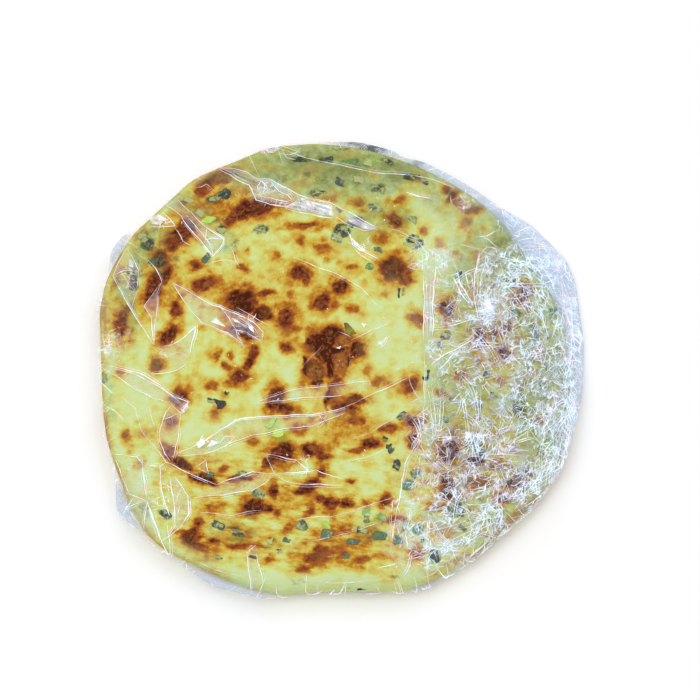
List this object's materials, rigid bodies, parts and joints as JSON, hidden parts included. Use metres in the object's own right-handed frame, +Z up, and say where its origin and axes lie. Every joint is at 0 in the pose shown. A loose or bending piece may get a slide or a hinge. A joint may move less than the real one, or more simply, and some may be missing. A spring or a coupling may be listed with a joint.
{
  "type": "film-wrapped onion patir flatbread",
  "caption": "Round flaky onion flatbread, browned in blisters and coiled seams, sealed in crumpled clear film and lying flat.",
  "frame": {"origin": "under the middle of the flatbread, on the surface that it lies on", "axes": "+Z up out of the browned face; -Y is the edge nearest the viewer, and the doubled film is on the +X side"},
  "size_m": [0.2682, 0.2686, 0.0256],
  "materials": {
    "clear_film": "thin clear stretch film, glossy, with sharp white folds, over pale yellow dough",
    "browned_dough": "pale yellow oiled dough, baked golden with dark brown blisters",
    "green_onion": "soft cooked green onion, dark and a little shiny"
  },
  "bodies": {
    "root": {"film_wrapped_patir": "clear_film"}
  },
  "joints": []
}
